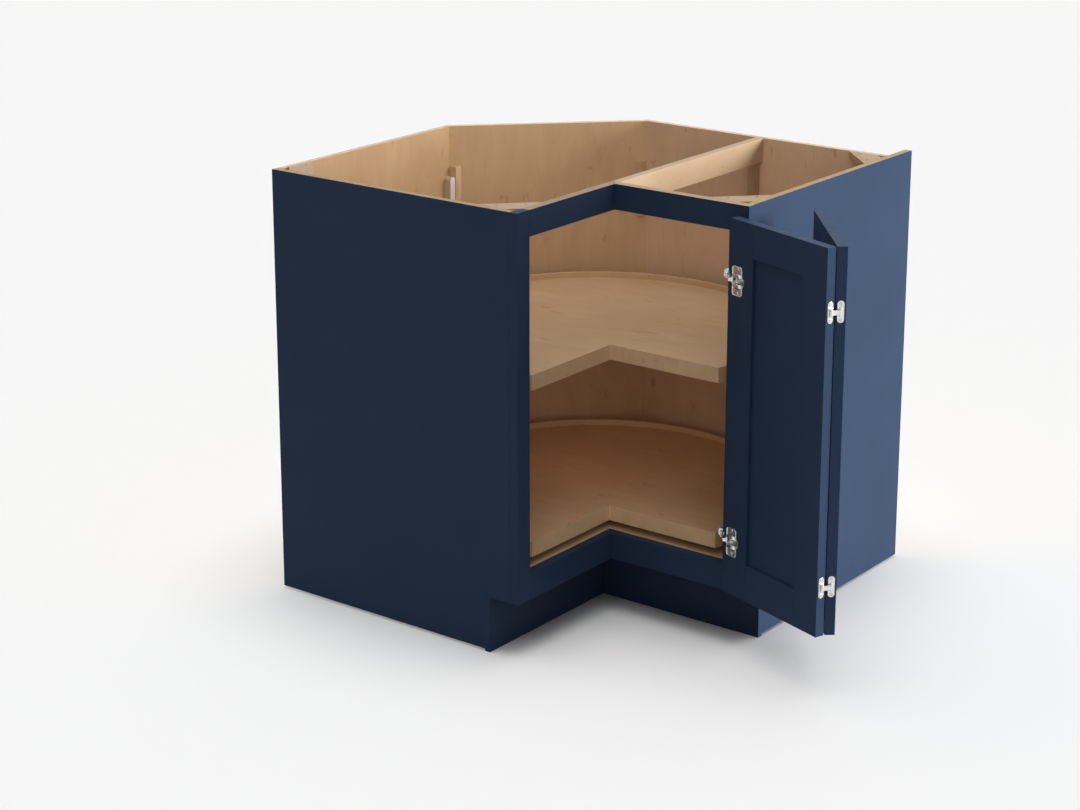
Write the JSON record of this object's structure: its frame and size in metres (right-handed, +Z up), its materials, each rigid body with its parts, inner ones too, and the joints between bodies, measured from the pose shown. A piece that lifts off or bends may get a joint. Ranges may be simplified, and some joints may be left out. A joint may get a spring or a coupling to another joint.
{
  "type": "corner carousel cabinet",
  "caption": "L-shaped corner base cabinet with a face frame, turntable shelves and a folding hinged door, open at the top for a countertop.",
  "frame": {"origin": "the room corner at floor level, where the two walls behind the cabinet meet", "axes": "+Z up; +X along the right wall, -Y along the left wall; the door's corner faces +X and -Y"},
  "size_m": [1.1719, 0.9144, 0.8813],
  "materials": {
    "navy_paint": "satin navy paint on wood",
    "maple": "clear satin lacquer on pale maple",
    "zinc_steel": "bright zinc plate",
    "white_plastic": "moulded, slightly glossy",
    "soft_rubber": "clear grey, soft"
  },
  "bodies": {
    "cabinet": {"left_end_panel": "navy_paint", "right_end_panel": "navy_paint", "left_back_panel": "maple", "right_back_panel": "maple", "diagonal_back_panel": "maple", "cabinet_floor": "maple", "left_stile": "navy_paint", "right_stile": "navy_paint", "left_top_rail": "navy_paint", "right_top_rail": "navy_paint", "left_bottom_rail": "navy_paint", "right_bottom_rail": "navy_paint", "left_kick_board": "navy_paint", "right_kick_board": "navy_paint", "top_stretcher": "maple", "stretcher_cleat": "maple", "corner_braces": "maple", "back_joint_strips": "maple", "back_joint_clips": "white_plastic", "carousel_shelf": "maple", "shelf_cleats": "maple", "hinge_mounts": "zinc_steel", "hinge_mount_screws": "zinc_steel", "lower_swivel_base": "zinc_steel", "upper_swivel_base": "zinc_steel"},
    "door_arms": {"hinge_arms": "zinc_steel", "arm_pins": "zinc_steel"},
    "near_leaf": {"near_leaf_hinge_stile": "navy_paint", "near_leaf_fold_stile": "navy_paint", "near_leaf_top_rail": "navy_paint", "near_leaf_bottom_rail": "navy_paint", "near_leaf_panel": "navy_paint", "hinge_cups": "zinc_steel", "hinge_cup_screws": "zinc_steel", "near_fold_plates": "zinc_steel", "near_fold_screws": "zinc_steel"},
    "fold_bars": {"fold_links": "zinc_steel", "fold_pins": "zinc_steel"},
    "far_leaf": {"far_leaf_fold_stile": "navy_paint", "far_leaf_free_stile": "navy_paint", "far_leaf_top_rail": "navy_paint", "far_leaf_bottom_rail": "navy_paint", "far_leaf_panel": "navy_paint", "far_fold_plates": "zinc_steel", "far_fold_screws": "zinc_steel", "door_bumpers": "soft_rubber"},
    "lower_carousel": {"lower_deck": "maple", "lower_front_bands": "maple", "lower_round_band": "maple", "lower_spacer": "maple", "lower_swivel_top": "zinc_steel"},
    "lower_balls": {"lower_ball_ring": "zinc_steel"},
    "upper_carousel": {"upper_deck": "maple", "upper_front_bands": "maple", "upper_round_band": "maple", "upper_spacer": "maple", "upper_swivel_top": "zinc_steel"},
    "upper_balls": {"upper_ball_ring": "zinc_steel"}
  },
  "joints": [
    {"name": "arm_swing", "type": "hinge", "parent": "cabinet", "child": "door_arms", "pos_m": [0.874, -0.61781, 0.5], "axis": [0, 0, 1], "range_deg": [-1.9, 47.31]},
    {"name": "door_swing", "type": "hinge", "parent": "door_arms", "child": "near_leaf", "pos_m": [0.89799, -0.63687, 0.5], "axis": [0, 0, 1], "range_deg": [-208.86, 8]},
    {"name": "door_fold", "type": "hinge", "parent": "near_leaf", "child": "fold_bars", "pos_m": [1.15634, -0.71408, 0.5], "axis": [0, 0, 1], "range_deg": [-29.18, 5.8]},
    {"name": "door_fold_far", "type": "hinge", "parent": "fold_bars", "child": "far_leaf", "pos_m": [1.16681, -0.69871, 0.5], "axis": [0, 0, 1], "range_deg": [-29.18, 5.8]},
    {"name": "lower_carousel_spin", "type": "hinge", "parent": "cabinet", "child": "lower_carousel", "pos_m": [0.485, -0.485, 0.172], "axis": [0, 0, 1], "range_deg": [-360, 360]},
    {"name": "lower_ball_spin", "type": "hinge", "parent": "cabinet", "child": "lower_balls", "pos_m": [0.485, -0.485, 0.172], "axis": [0, 0, 1], "range_deg": [-180, 180]},
    {"name": "upper_carousel_spin", "type": "hinge", "parent": "cabinet", "child": "upper_carousel", "pos_m": [0.485, -0.485, 0.519], "axis": [0, 0, 1], "range_deg": [-360, 360]},
    {"name": "upper_ball_spin", "type": "hinge", "parent": "cabinet", "child": "upper_balls", "pos_m": [0.485, -0.485, 0.519], "axis": [0, 0, 1], "range_deg": [-180, 180]}
  ],
  "couplings": [
    {"joint": "arm_swing", "follows": "door_swing", "ratio": -0.2265},
    {"joint": "door_fold_far", "follows": "door_fold", "ratio": 1},
    {"joint": "lower_ball_spin", "follows": "lower_carousel_spin", "ratio": 0.5},
    {"joint": "upper_ball_spin", "follows": "upper_carousel_spin", "ratio": 0.5}
  ]
}
